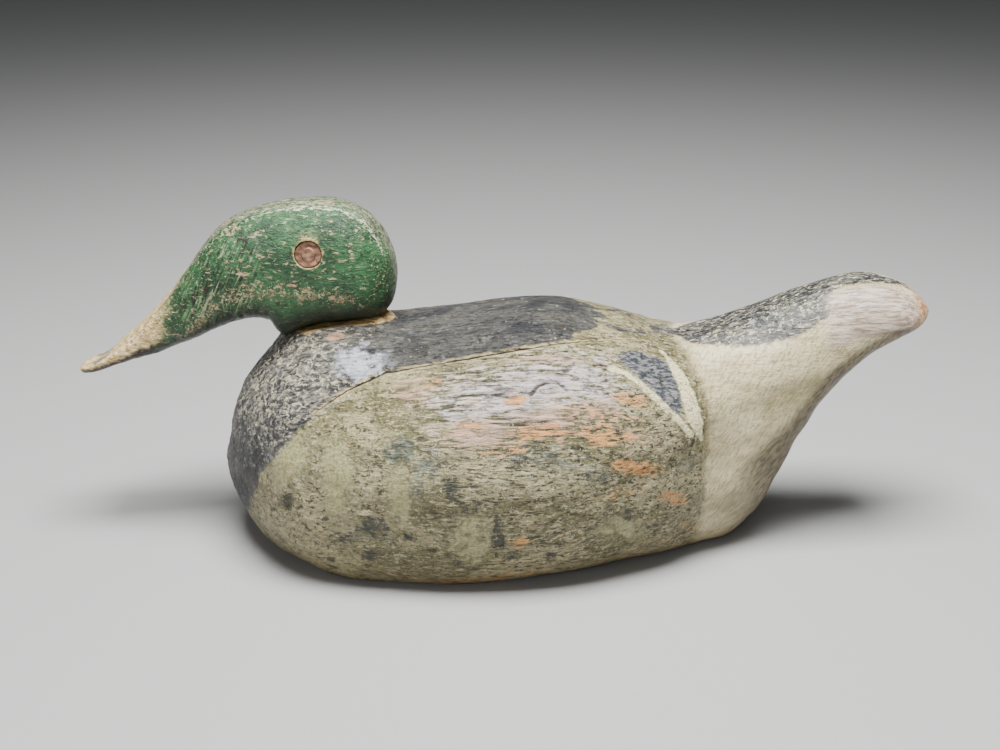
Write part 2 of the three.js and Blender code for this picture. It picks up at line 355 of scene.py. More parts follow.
def settle(points):
    """Flat underside with a worn edge, and the seat for the neck cut flat."""
    x, y, z = points.T
    z = (z + np.sqrt(z * z + 1.2)) / 2
    over = z - (SEAT_Z + (x - SEAT_X) * SEAT_SLOPE)
    near_seat = (np.abs(x - SEAT_X) < 50) & (np.abs(y) < 34) & (z > 90)
    z = np.where(near_seat, z - (over + np.sqrt(over * over + 0.25)) / 2, z)
    return np.stack([x, y, z], -1)


carved_points = settle(body_points + body_normals * relief[:, None])
move_points(body, carved_points)

# Where each colour of paint lies: depth inside its edge in millimetres, or an amount from 0 to 1
breast_edge = np.interp(z, [0, 31, 57, 81, 97, 105], [-135, -123, -113, -93, -72, -60])
back_edge = np.interp(x, [p[0] for p in CRACK], [p[1] for p in CRACK])
back = np.where(x < 76, back_edge - g, -20)
back = back - 30 * smoothstep(x, 25, 62)
tail_edge = np.interp(x, [74, 87, 97, 117, 143, 157, 160, 180, 210], [2, 7, 17, 25, 27, 24, 9, 8, 4])
tail_top = np.where(x > 74, tail_edge - g, -20)
back = back + 9 * lumps(body_points, (15, 7, 7), 6) * smoothstep(x, 5, 45)
ridge_line, _ = line_distance(x, g, [(40, 6), (60, 14), (76, 6), (84, 4)])
dark = np.maximum.reduce([breast_edge - x, back, tail_top, 1.5 - ridge_line])
WEDGE = [(54, 36), (64, 30), (78, 31), (82, 40), (84.5, 52), (85, 63), (77, 58.5), (70, 52), (63, 46)]
wedge = inside_distance(x, g, WEDGE)
inner_bar, _ = line_distance(x, g, [(52, 46), (58, 47), (65, 51), (70, 55), (77, 60), (84, 65), (89, 69)])
outer_bar, outer_share = line_distance(x, g, [(77, 24), (82.5, 34), (86, 42), (89, 52), (91, 61), (95, 70)])
bars = np.maximum(1.7 - inner_bar, np.interp(outer_share, [0, 0.3, 0.8, 1], [0.8, 2.8, 4.2, 1]) - outer_bar)
BARE = [
    (-14, 76, 12, 3, 0.7), (18, 82, 16, 4, 0.9), (50, 80, 18, 4, 0.8), (0, 89, 15, 3, 0.6),
    (-31, 52, 6, 3, 0.8), (60, 61, 9, 4, 1), (45, 83, 7, 3, 1), (63, 93, 13, 4, 1.1),
    (82, 105, 9, 4, 0.8), (9, 137, 5, 3, 0.9), (55, 108, 12, 3, 0.5), (34, 15, 7, 3.5, 1),
    (-3, 4, 9, 4, 0.6), (7, 66, 5, 3, 1.2), (44, 71, 22, 5, 0.5), (96, 122, 10, 5, 0.5),
    (-10, 165, 40, 5, 0.7), (70, 158, 20, 4, 0.8),
]
bare = patches(x, girth, BARE)
SPOTS = [
    (-58, 120, 8, 5, 1), (-42, 127, 4, 4, 0.9), (-61, 139, 6, 4, 1), (-73, 129, 4, 4, 0.8),
    (-22, 103, 4, 8, 1), (-14, 114, 6, 5, 0.8), (-1, 131, 4, 14, 1), (24, 148, 3, 5, 0.9),
    (60, 119, 3, 5, 1), (74, 125, 2, 6, 1), (-100, 101, 3, 6, 1), (10, 95, 6, 4, 0.7),
    (-30, 90, 7, 4, 0.5), (40, 100, 9, 2, 0.7), (-20, 146, 4, 5, 0.7), (5, 144, 5, 5, 0.8),
]
stains = patches(x, girth, SPOTS)
TEAL = [
    (-45, 84, 8, 7, 1), (-33, 92, 7, 9, 0.9), (-40, 102, 6, 5, 0.8), (12, 70, 10, 4, 0.7), (22, 84, 9, 4, 1),
    (8, 88, 22, 5, 0.7), (30, 96, 14, 3, 1), (22, 91, 6, 4, 0.9), (50, 66, 12, 5, 0.7), (44, 100, 14, 4, 0.6),
    (-20, 47, 14, 5, 0.5), (90, 84, 8, 6, 0.6), (-62, 128, 18, 7, 0.6), (95, 110, 8, 6, 0.6),
]
teal = patches(x, g, TEAL)
PINK = [(-5, 80, 22, 7, 1), (22, 76, 22, 6, 1), (45, 70, 18, 6, 0.8), (-40, 55, 9, 8, 0.8), (28, 45, 30, 3, 0.7), (60, 78, 16, 6, 0.6)]
pink = patches(x, girth, PINK)
rubbed = np.where(x < 60, smoothstep(z, 40, 92) * (1 - smoothstep(x, -80, -50)) + 0.12 * smoothstep(x, -60, 10), 0.75)
grainy = 1 - smoothstep(x, -60, -15)
seat_edge = np.interp(x, [-98, -92, -87, -81, -68, -59, -53, -50], [14, 18.5, 16.5, 16.5, 16, 12.5, 6, -6])
seat = np.where((x > -99) & (x < -50), seat_edge - g, -20)
chip = 1 - np.hypot((x + 79) / 5.5, (girth - 22) / 1.8)
# Patch of painted highlight on the breast's front shoulder, ahead of the crack
blue = patches(x, g, [(-68, 38, 11, 11, 1), (-58, 36, 8, 8, 0.8)])
tail_face = smoothstep(x, 153, 160) * smoothstep(g, 8, 14) * (1 - smoothstep(g, 36, 42))
tail_tip = smoothstep(x, 197, 203)
# Tail's underside, darkened with painted shade
low_edge = np.interp(x, [110, 140, 160, 180, 200, 210], [95, 70, 49, 38, 27, 14])
under_tail = smoothstep(g - low_edge, -4, 6) * smoothstep(x, 100, 135)
# Lower side near the floor, darkened with painted shade
near_floor = 1 - smoothstep(z, 3, 26)
for name, values in {
    "dark": dark, "wedge": wedge, "bars": bars, "bare": bare, "stains": stains, "seat": seat,
    "smooth": smooth, "worn": worn, "rump": rump, "crack": np.where(g < back_edge, 1, -1) * crack_away,
    "crack_open": crack_open, "scored": scored, "chip": chip, "blue": blue, "relief": rough * (grain + pits),
    "teal": teal, "pink": pink, "rubbed": rubbed, "grainy": grainy, "tail_face": tail_face, "tail_tip": tail_tip, "under_tail": under_tail, "near_floor": near_floor,
}.items():
    store(body, name, values)


def add(tree, kind, inputs=None, **settings):
    """A shader node with its settings; each input is a value or another node's output."""
    made = tree.nodes.new("ShaderNode" + kind)
    for name, value in settings.items():
        setattr(made, name, value)
    for name, value in (inputs or {}).items():
        if isinstance(value, bpy.types.NodeSocket):
            tree.links.new(value, made.inputs[name])
        else:
            made.inputs[name].default_value = value
    return made


def stored(tree, name):
    return add(tree, "Attribute", attribute_name=name, attribute_type="GEOMETRY").outputs["Fac"]


def calc(tree, operation, a, b=0.0, limit=False):
    return add(tree, "Math", {0: a, 1: b}, operation=operation, use_clamp=limit).outputs[0]


def fade(tree, value, low, high):
    """0 below low, 1 above high, smooth between."""
    made = add(tree, "MapRange", {"Value": value, "From Min": low, "From Max": high}, interpolation_type="SMOOTHSTEP")
    return made.outputs["Result"]


def blend(tree, amount, under, over):
    return add(tree, "Mix", {0: amount, 6: under, 7: over}, data_type="RGBA").outputs[2]


def stretched_noise(tree, size, detail=4.0, rough=0.6, warp=0.0, turn=0.0):
    """Noise with lumps of the given size in millimetres along X, Y and Z, turned about Y."""
    place = add(tree, "TexCoord").outputs["Object"]
    if turn:
        place = add(tree, "VectorRotate", {"Vector": place, "Axis": (0, 1, 0), "Angle": turn}).outputs[0]
    scale = tuple(1 / (lump * MM) for lump in size)
    place = add(tree, "VectorMath", {0: place, 1: scale}, operation="MULTIPLY").outputs[0]
    settings = {"Vector": place, "Scale": 1.0, "Detail": detail, "Roughness": rough, "Distortion": warp}
    return add(tree, "TexNoise", settings).outputs["Fac"]


def colour(red, green, blue):
    """Shader colour of a paint as the eye sees it, from 0 to 255."""
    parts = [c / 255 for c in (red, green, blue)]
    return tuple(c / 12.92 if c < 0.04045 else ((c + 0.055) / 1.055) ** 2.4 for c in parts) + (1,)


# Marks that weather leaves on old paint: mottling, dashes along the grain, fine specks, and a
# ragged noise that frays the edges of a colour. Fleck is the size of a speck in millimetres,
# Stretch is how much longer the marks are along the grain, and Turn leans them about Y.
weathering = bpy.data.node_groups.new("weathering", "ShaderNodeTree")
for name, value in (("Fleck", 1.0), ("Stretch", 2.0), ("Turn", 0.0)):
    weathering.interface.new_socket(name, in_out="INPUT", socket_type="NodeSocketFloat").default_value = value
for name in ("Mottle", "Dashes", "Specks", "Ragged"):
    weathering.interface.new_socket(name, in_out="OUTPUT", socket_type="NodeSocketFloat")
given = weathering.nodes.new("NodeGroupInput").outputs
marks = weathering.nodes.new("NodeGroupOutput").inputs
place = add(weathering, "TexCoord").outputs["Object"]
place = add(weathering, "VectorRotate", {"Vector": place, "Axis": (0, 1, 0), "Angle": given["Turn"]}).outputs[0]
place = add(weathering, "VectorMath", {0: place, 1: (1 / MM, 1 / MM, 1 / MM)}, operation="MULTIPLY").outputs[0]
fleck = add(weathering, "CombineXYZ", {"X": given["Fleck"], "Y": given["Fleck"], "Z": given["Fleck"]}).outputs[0]
place = add(weathering, "VectorMath", {0: place, 1: fleck}, operation="DIVIDE").outputs[0]
grain = add(weathering, "CombineXYZ", {"X": given["Stretch"], "Y": 1.0, "Z": 1.0}).outputs[0]
along_grain = add(weathering, "VectorMath", {0: place, 1: grain}, operation="DIVIDE").outputs[0]
for name, where, size, detail, warp in (
    ("Mottle", along_grain, 1.9, 5.0, 0.6), ("Dashes", along_grain, 1.2, 5.0, 0.5),
    ("Specks", place, 1.3, 4.0, 0.4), ("Ragged", place, 5.0, 6.0, 0.3),
):
    settings = {"Vector": where, "Scale": 1 / size, "Detail": detail, "Roughness": 0.68, "Distortion": warp}
    weathering.links.new(add(weathering, "TexNoise", settings).outputs["Fac"], marks[name])


def weathered(tree, fleck, stretch, turn=0.0):
    made = tree.nodes.new("ShaderNodeGroup")
    made.node_tree = weathering
    for name, value in (("Fleck", fleck), ("Stretch", stretch), ("Turn", turn)):
        made.inputs[name].default_value = value
    return [made.outputs[name] for name in ("Mottle", "Dashes", "Specks", "Ragged")]


body_paint = bpy.data.materials.new("worn_body_paint")
body_paint.use_nodes = True
t = body_paint.node_tree
gloss = t.nodes["Principled BSDF"]

cloud = stretched_noise(t, (34, 20, 20), 3.0, 0.6)
streaks = stretched_noise(t, (13, 1.4, 1.4), 5.0, 0.65, 0.4)
mottle, dashes, specks, ragged = weathered(t, 1.0, 3.2)
grains, _, _, _ = weathered(t, 1.15, 1.4)
ragged_mm = calc(t, "MULTIPLY", calc(t, "SUBTRACT", ragged, 0.5), 16.0)
smooth_amount = fade(t, calc(t, "ADD", stored(t, "smooth"), calc(t, "MULTIPLY", calc(t, "SUBTRACT", ragged, 0.5), 2.5)), 0.2, 0.8)


def ragged_mask(tree, attribute, soft=0.6, share=1.0):
    """Inside a painted edge, with the edge broken up by wear."""
    depth = calc(tree, "ADD", stored(tree, attribute), calc(tree, "MULTIPLY", ragged_mm, share))
    return fade(tree, depth, -soft, soft)


def part_of(tree, mask, share):
    return calc(tree, "MULTIPLY", mask, share, True)


# Khaki side paint, worn to cream on the ridges and dirty in the grain
khaki = blend(t, fade(t, cloud, 0.38, 0.62), colour(112, 107, 68), colour(166, 157, 116))
khaki = blend(t, part_of(t, fade(t, mottle, 0.52, 0.61), 0.75), khaki, colour(206, 196, 156))
streaky = calc(t, "SUBTRACT", 1.0, stored(t, "grainy"))
khaki = blend(t, calc(t, "MULTIPLY", fade(t, dashes, 0.48, 0.4), streaky), khaki, colour(46, 42, 26))
khaki = blend(t, calc(t, "MULTIPLY", fade(t, streaks, 0.44, 0.38), streaky), khaki, colour(52, 50, 32))
khaki = blend(t, calc(t, "MULTIPLY", fade(t, grains, 0.47, 0.39), stored(t, "grainy")), khaki, colour(64, 60, 38))
khaki = blend(t, part_of(t, fade(t, specks, 0.43, 0.37), 0.8), khaki, colour(50, 48, 30))
khaki = blend(t, part_of(t, fade(t, specks, 0.59, 0.65), 0.7), khaki, colour(222, 214, 180))
under_green = blend(t, fade(t, mottle, 0.42, 0.6), colour(44, 58, 52), colour(112, 128, 116))
teal_depth = calc(t, "ADD", stored(t, "teal"), calc(t, "MULTIPLY", calc(t, "SUBTRACT", streaks, 0.5), 4.0))
teal_depth = calc(t, "ADD", teal_depth, calc(t, "MULTIPLY", calc(t, "SUBTRACT", ragged, 0.5), 3.0))
khaki = blend(t, part_of(t, fade(t, teal_depth, 0.5, 1.0), 0.8), khaki, under_green)
greenish = blend(t, fade(t, specks, 0.6, 0.4), colour(172, 168, 122), colour(136, 134, 92))
khaki = blend(t, part_of(t, smooth_amount, 0.8), khaki, greenish)

# Rump: creamy paint laid with a fine brush, yellower towards the tail
brush = stretched_noise(t, (4.0, 3.0, 0.9), 4.0, 0.62, 0.3, 0.95)
cream = blend(t, fade(t, cloud, 0.36, 0.6), colour(176, 164, 122), colour(222, 210, 168))
cream = blend(t, part_of(t, fade(t, brush, 0.52, 0.4), 0.55), cream, colour(128, 116, 80))
cream = blend(t, part_of(t, fade(t, specks, 0.42, 0.34), 0.5), cream, colour(92, 84, 58))
paint = blend(t, fade(t, calc(t, "ADD", stored(t, "rump"), ragged_mm), 0.0, 6.0), khaki, cream)

# Worn shoulder of the side: bluish white and pink over bare wood, its bright bluish white partly a painted highlight
# of the overhead light on the shoulder
pearl_wear_and_highlight = blend(t, fade(t, streaks, 0.4, 0.58), colour(136, 126, 122), colour(226, 220, 220))
pearl_wear_and_highlight = blend(t, part_of(t, fade(t, dashes, 0.54, 0.62), 0.6), pearl_wear_and_highlight, colour(206, 166, 142))
pearl_wear_and_highlight = blend(t, part_of(t, fade(t, mottle, 0.46, 0.39), 0.8), pearl_wear_and_highlight, colour(84, 84, 82))
wear_and_highlight_depth = calc(t, "ADD", stored(t, "worn"), calc(t, "MULTIPLY", ragged_mm, 2.6))
wear_and_highlight_depth = calc(t, "ADD", wear_and_highlight_depth, calc(t, "MULTIPLY", calc(t, "SUBTRACT", streaks, 0.5), 90.0))
wear_and_highlight_amount = part_of(t, fade(t, wear_and_highlight_depth, -8.0, 8.0), 0.85)
paint = blend(t, wear_and_highlight_amount, paint, pearl_wear_and_highlight)
pink = blend(t, fade(t, streaks, 0.42, 0.58), colour(128, 98, 76), colour(208, 172, 146))
pink_depth = calc(t, "ADD", stored(t, "pink"), calc(t, "MULTIPLY", calc(t, "SUBTRACT", streaks, 0.5), 5.0))
paint = blend(t, part_of(t, fade(t, pink_depth, 0.4, 1.0), 0.75), paint, pink)

# Bare wood where the paint is gone
wood = blend(t, fade(t, streaks, 0.38, 0.56), colour(140, 88, 46), colour(230, 164, 92))
bare_depth = calc(t, "ADD", stored(t, "bare"), calc(t, "MULTIPLY", calc(t, "SUBTRACT", streaks, 0.5), 3.6))
bare_depth = calc(t, "ADD", bare_depth, calc(t, "MULTIPLY", calc(t, "SUBTRACT", mottle, 0.5), 2.0))
paint = blend(t, part_of(t, fade(t, bare_depth, 0.55, 0.95), 0.85), paint, wood)

# Dark paint of the back, the breast and the tail top, rubbed to cream specks
slate = blend(t, fade(t, cloud, 0.4, 0.6), colour(46, 47, 49), colour(86, 84, 78))
slate = blend(t, part_of(t, fade(t, dashes, 0.5, 0.42), 0.85), slate, colour(20, 20, 21))
rub = calc(t, "MULTIPLY", calc(t, "SUBTRACT", stored(t, "rubbed"), 0.5), 0.12)
slate = blend(t, part_of(t, fade(t, calc(t, "ADD", mottle, rub), 0.53, 0.63), 0.7), slate, colour(142, 138, 124))
slate = blend(t, part_of(t, fade(t, calc(t, "ADD", grains, rub), 0.58, 0.64), 0.8), slate, colour(206, 198, 168))
# Bluish grey painted highlight on the front shoulder, where the overhead light glints
painted_highlight_grey = blend(t, fade(t, mottle, 0.35, 0.6), colour(120, 122, 130), colour(176, 178, 184))
slate = blend(t, fade(t, calc(t, "ADD", stored(t, "blue"), calc(t, "MULTIPLY", ragged_mm, 0.2)), 0.2, 0.9), slate, painted_highlight_grey)
paint = blend(t, ragged_mask(t, "dark", 1.2, 0.6), paint, slate)
wing_blue = blend(t, fade(t, dashes, 0.45, 0.58), colour(54, 58, 66), colour(140, 140, 136))
paint = blend(t, ragged_mask(t, "wedge", 0.8, 0.3), paint, wing_blue)
bar_cream = blend(t, fade(t, specks, 0.5, 0.38), colour(238, 230, 182), colour(160, 152, 112))
paint = blend(t, ragged_mask(t, "bars", 0.5, 0.3), paint, bar_cream)

# Stains, the tail's pinkish near face, and painted shade on the tail's underside and low along the side
stain_depth = calc(t, "ADD", stored(t, "stains"), calc(t, "MULTIPLY", calc(t, "SUBTRACT", specks, 0.5), 2.6))
stain_depth = calc(t, "ADD", stain_depth, calc(t, "MULTIPLY", calc(t, "SUBTRACT", ragged, 0.5), 2.6))
paint = blend(t, part_of(t, fade(t, stain_depth, 0.6, 0.95), 0.9), paint, colour(46, 48, 42))
pinkish = blend(t, fade(t, streaks, 0.38, 0.62), colour(140, 122, 106), colour(206, 190, 172))
paint = blend(t, stored(t, "tail_face"), paint, pinkish)
underside_shade = blend(t, fade(t, brush, 0.4, 0.62), colour(48, 40, 28), colour(126, 112, 84))
paint = blend(t, part_of(t, stored(t, "under_tail"), 0.85), paint, underside_shade)
tip_wood = blend(t, fade(t, mottle, 0.4, 0.6), colour(168, 116, 76), colour(226, 196, 156))
paint = blend(t, stored(t, "tail_tip"), paint, tip_wood)
# Painted shade along the lower side, towards the floor
low_shade = blend(t, fade(t, dashes, 0.4, 0.6), colour(70, 58, 40), colour(130, 112, 78))
paint = blend(t, part_of(t, stored(t, "near_floor"), 0.45), paint, low_shade)

# Neck seat left bare, with a chip broken off in front of it
seat_wood = blend(t, fade(t, streaks, 0.38, 0.6), colour(150, 116, 72), colour(228, 196, 136))
paint = blend(t, ragged_mask(t, "seat", 0.5, 0.12), paint, seat_wood)
chip_depth = calc(t, "ADD", stored(t, "chip"), calc(t, "MULTIPLY", ragged_mm, 0.12))
paint = blend(t, fade(t, chip_depth, -0.1, 0.15), paint, colour(206, 168, 136))

# Cream lips on the drying crack, darker paint in the pits of the grain, and painted shade in the gouges and down the
# crack
# Darker paint where the grain's relief is sunk
paint = blend(t, part_of(t, fade(t, stored(t, "relief"), -0.12, -0.42), 0.8), paint, colour(58, 54, 40))
crack_off = calc(t, "ADD", stored(t, "crack"), calc(t, "MULTIPLY", ragged_mm, 0.12))
crack_off = calc(t, "ABSOLUTE", crack_off)
crack_off = calc(t, "ADD", crack_off, calc(t, "MULTIPLY", calc(t, "SUBTRACT", 1.0, stored(t, "crack_open")), 0.6))
lips = part_of(t, calc(t, "MULTIPLY", fade(t, crack_off, 2.4, 1.0), fade(t, mottle, 0.4, 0.56)), 0.75)
paint = blend(t, lips, paint, colour(206, 186, 136))
# Painted shade in the gouges
score_off = calc(t, "ADD", stored(t, "scored"), calc(t, "MULTIPLY", ragged_mm, 0.15))
paint = blend(t, part_of(t, fade(t, score_off, 1.3, 0.3), 0.9), paint, colour(56, 48, 46))
# Painted shade down the drying crack
paint = blend(t, fade(t, crack_off, 0.9, 0.4), paint, colour(22, 16, 10))
t.links.new(paint, gloss.inputs["Base Color"])

shine = calc(t, "ADD", 0.2, calc(t, "MULTIPLY", specks, 0.3))
t.links.new(calc(t, "SUBTRACT", shine, calc(t, "MULTIPLY", wear_and_highlight_amount, 0.08)), gloss.inputs["Roughness"])
height = calc(t, "ADD", calc(t, "MULTIPLY", streaks, 0.8), calc(t, "MULTIPLY", mottle, 1.2))
height = calc(t, "ADD", height, calc(t, "MULTIPLY", specks, 0.7))
flat_amount = calc(t, "MAXIMUM", fade(t, stored(t, "rump"), -2.0, 8.0), smooth_amount)
height = calc(t, "MULTIPLY", height, calc(t, "SUBTRACT", 1.0, calc(t, "MULTIPLY", flat_amount, 0.65)))
bump = add(t, "Bump", {"Strength": 1.0, "Distance": 0.0012, "Height": height})
t.links.new(bump.outputs["Normal"], gloss.inputs["Normal"])

body.data.materials.append(body_paint)
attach(body, "root")
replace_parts(body, "body")


# Head with its bill: a second block, carved thin and scribed down onto the seat, with a shallow
# round recess in each cheek for the eye tack. Painted dark green, with an ochre bill.
HEAD_LENGTH = 160
HEAD_WIDTH = 44
CROWN_HEIGHT = 175
BILL_TIP = -210
CROWN_LINE = [
    (0, 0.52), (0.07, 0.5435), (0.14, 0.597), (0.206, 0.65), (0.275, 0.7115), (0.344, 0.785),
    (0.4125, 0.8665), (0.48, 0.9325), (0.544, 0.966), (0.606, 0.983), (0.72, 1.001), (0.8, 1.0025),
    (0.87, 0.996), (1, 0.986),
]
JAW_LINE = [
    (0, 0.5), (0.04, 0.507), (0.08, 0.5155), (0.13, 0.5295), (0.19, 0.548), (0.256, 0.566),
    (0.325, 0.593), (0.3875, 0.6155), (0.4375, 0.6385), (0.48, 0.6555), (0.52, 0.6655), (0.605, 0.669),
    (0.62, 0.662), (0.637, 0.632), (0.655, 0.619), (0.69, 0.628), (0.72, 0.642), (0.8, 0.66),
    (0.9, 0.667), (1, 0.656),
]
CHEEK_LINE = [
    (0, 0.515), (0.19, 0.588), (0.34, 0.668), (0.47, 0.749), (0.6, 0.8), (0.75, 0.817), (0.9, 0.806),
    (1, 0.794),
]
HEAD_PLAN = [
    (0, 0.45), (0.1, 0.5), (0.2, 0.52), (0.3, 0.62), (0.375, 0.76), (0.45, 0.88), (0.55, 0.96),
    (0.7, 1), (0.85, 1), (1, 0.97),
]
CROWN_POWER, JAW_POWER = 2.8, 2.5
EYE_X, EYE_Z, EYE_DIAMETER = -89.5, 154.5, 12.4
EYE_LEAN = math.radians(11)
RECESS_DEPTH = 2.2
JOINT_GAP = 0.3


def head_section(share):
    from_bill = share * HEAD_LENGTH
    from_nape = HEAD_LENGTH - from_bill
    tip = rounded(from_bill, 4)
    belt = CROWN_HEIGHT * along(CHEEK_LINE, share)
    plan = along(HEAD_PLAN, share) * rounded(from_bill, 9) * rounded(from_nape, 26)
    return {
        "belt": belt,
        "top": belt + (CROWN_HEIGHT * along(CROWN_LINE, share) - belt) * tip * rounded(from_nape, 30),
        "bottom": belt + (CROWN_HEIGHT * along(JAW_LINE, share) - belt) * tip * rounded(from_nape, 15),
        "half_width": HEAD_WIDTH / 2 * plan,
        "upper_power": CROWN_POWER,
        "lower_power": JAW_POWER,
    }


def head_surface(share, turn):
    y, z = section_point(head_section(share), turn)
    return np.stack([BILL_TIP + share * HEAD_LENGTH, y, z], -1)


def body_top(x, y):
    """Height of the body's back, with the seat, over each place."""
    section = body_section(np.clip((x - BREAST_TIP) / BODY_LENGTH, 0.001, 0.999))
    reach = np.clip(np.abs(y) / np.maximum(section["half_width"], 1), 0, 1)
    bow = (1 - reach ** section["upper_power"]) ** (1 / section["upper_power"])
    z = section["belt"] + (section["top"] - section["belt"]) * bow + seat_swelling(x, y)
    plane = SEAT_Z + (x - SEAT_X) * SEAT_SLOPE
    return np.where(np.abs(x - SEAT_X) < 50, np.minimum(z, plane), z)


def head_importance(middle):
    return np.where(middle[..., 1] < 0, 1.0, 0.55)


head_points, head_faces, girth = skin(
    head_surface, even_shares(HEAD_LENGTH, 7, 28, 24, 330), 250, head_importance
)
head = mesh_piece("carved_head", head_points, head_faces)
head_normals = normals_of(head)
x, y, z = head_points.T

facets = 0.3 * lumps(head_points, (14, 9, 14), 11) + 0.12 * lumps(head_points, (6, 4, 9), 12)
cuts = 0.1 * lumps(np.stack([x + 0.6 * z, y, z], -1), (2.2, 5, 16), 13)
nicks = -0.35 * np.clip(lumps(head_points, (2.2, 2.2, 2.2), 14) - 0.45, 0, 1)
relief = facets + cuts + nicks
relief -= 0.9 * np.exp(-(np.hypot((x + 114) / 3.5, (girth - 20) / 2) ** 2))

# Flat round recess for each eye, with a clean edge
cheek_section = head_section(np.array([(EYE_X - BILL_TIP) / HEAD_LENGTH]))
cheek_rise = (EYE_Z - cheek_section["belt"][0]) / (cheek_section["top"][0] - cheek_section["belt"][0])
cheek_half = cheek_section["half_width"][0] * (1 - cheek_rise**CROWN_POWER) ** (1 / CROWN_POWER)
recess = EYE_DIAMETER / 2 + JOINT_GAP
eye_ring = np.full(len(x), 50.0)
carved = head_points + head_normals * relief[:, None]
for side in (-1, 1):
    centre = np.array([EYE_X, side * cheek_half, EYE_Z])
    out = np.array([0, side * math.cos(EYE_LEAN), math.sin(EYE_LEAN)])
    offset = carved - centre
    height = offset @ out
    flat = offset - height[:, None] * out
    away = np.linalg.norm(flat, axis=1)
    near = (away < recess + 0.35) & (y * side > 0)
    on_edge = near & (away > recess - 0.35)
    carved[on_edge] = (centre + flat * (recess / np.maximum(away, 1e-6))[:, None] + height[:, None] * out)[on_edge]
    sunk = near & ~on_edge
    at_foot = sunk & (away > recess - 1)
    flat[at_foot] *= ((recess - 0.05) / away[at_foot])[:, None]
    carved[sunk] = (centre + flat - RECESS_DEPTH * out)[sunk]
    eye_ring = np.where(y * side > 0, away, eye_ring)

# Scribed down onto the body and its seat
rest = body_top(carved[:, 0], carved[:, 1]) + JOINT_GAP
low = carved[:, 2] - rest
over_body = (carved[:, 0] > -132) & (carved[:, 2] < 130)
carved[:, 2] = np.where(over_body, rest + (low + np.sqrt(low * low + 0.2)) / 2, carved[:, 2])
move_points(head, carved)

g = np.abs(girth)
section = head_section(np.clip((x - BILL_TIP) / HEAD_LENGTH, 0.001, 0.999))
# How far down the lower part of the head each point lies; it sets painted shade underneath and bends the bill's edge
under = (section["belt"] - z) / (section["belt"] - section["bottom"] + 1)
bill = -(x + 163) + 16 * (1 - smoothstep(g, 3, 10)) - 8 * np.clip(under, 0, 1)
crown_wear = 1 - smoothstep(g, 7, 13)
# Pale band along the crown's near edge, partly wear and partly a painted highlight
edge_line, _ = line_distance(x, g, [(-150, 9), (-135, 13), (-120, 12), (-105, 10), (-90, 11), (-75, 11), (-64, 11), (-56, 14)])
edge_wear_and_highlight = (1 - edge_line / 2.5) * (0.35 + 0.65 * smoothstep(x, -125, -92))
brow_wear = (1 - smoothstep(g, 4, 11)) * (1 - smoothstep(x, -160, -138))
rasp = smoothstep(x, -160, -146) * (1 - smoothstep(x, -122, -108)) * smoothstep(g, 14, 22)
lower_line, _ = line_distance(x, g, [(-150, 42), (-125, 47), (-104, 52), (-85, 55), (-66, 55)])
flecked = np.clip(1 - lower_line / 9, 0, 1) + 0.4 * (1 - smoothstep(x, -150, -130)) + 0.35 * smoothstep(x, -68, -56)
HEAD_WEAR = [
    (-131, 3, 4, 5, 1), (-126, 14, 5, 4, 0.9), (-113, 21, 3.5, 2, 1.2), (-77, 55, 5, 3, 1), (-101, 50, 8, 4, 0.8),
    (-120, 36, 4, 9, 0.7), (-127, 30, 3, 8, 0.6), (-66, 16, 4, 8, 0.5), (-82, 6, 12, 4, 0.7),
]
head_wear = patches(x, girth, HEAD_WEAR)
eye_above = np.exp(-(((x - EYE_X) / 5) ** 2)) * smoothstep(z, EYE_Z + 4, EYE_Z + 7) * (1 - smoothstep(z, EYE_Z + 7, EYE_Z + 13))
tip_slate = 1 - np.hypot((x + 197.5) / 6, (g - 5.5) / 4.5)
for name, values in {
    "eye_ring": eye_ring, "eye_above": eye_above, "under": under, "bill": bill, "rasp": rasp, "flecked": flecked,
    "crown_wear": crown_wear, "edge_wear_and_highlight": edge_wear_and_highlight, "brow_wear": brow_wear, "head_wear": head_wear, "tip_slate": tip_slate, "relief": cuts + nicks,
    "low": np.where(over_body, low, 30),
}.items():
    store(head, name, values)

head_paint = bpy.data.materials.new("worn_head_paint")
head_paint.use_nodes = True
t = head_paint.node_tree
gloss = t.nodes["Principled BSDF"]
cloud = stretched_noise(t, (18, 12, 18), 3.0, 0.6)
rasped = stretched_noise(t, (1.6, 4, 14), 5.0, 0.6, 0.3, -0.45)
mottle, dashes, specks, ragged = weathered(t, 0.9, 2.6)
ragged_mm = calc(t, "MULTIPLY", calc(t, "SUBTRACT", ragged, 0.5), 16.0)

# Green paint with rasp marks showing on the front of the cheek
green = blend(t, fade(t, cloud, 0.4, 0.6), colour(38, 76, 44), colour(58, 108, 64))
green = blend(t, part_of(t, fade(t, dashes, 0.5, 0.42), 0.7), green, colour(24, 44, 26))
green = blend(t, part_of(t, fade(t, mottle, 0.56, 0.66), 0.45), green, colour(122, 138, 104))
rasp = stored(t, "rasp")
green = blend(t, calc(t, "MULTIPLY", fade(t, rasped, 0.48, 0.4), rasp), green, colour(34, 34, 22))
green = blend(t, calc(t, "MULTIPLY", fade(t, rasped, 0.56, 0.64), rasp), green, colour(150, 158, 122))
fleck_more = calc(t, "MULTIPLY", stored(t, "flecked"), 0.14)
green = blend(t, part_of(t, fade(t, calc(t, "ADD", specks, fleck_more), 0.66, 0.72), 0.85), green, colour(196, 190, 148))
green = blend(t, part_of(t, fade(t, calc(t, "ADD", mottle, fleck_more), 0.62, 0.7), 0.6), green, colour(120, 98, 72))

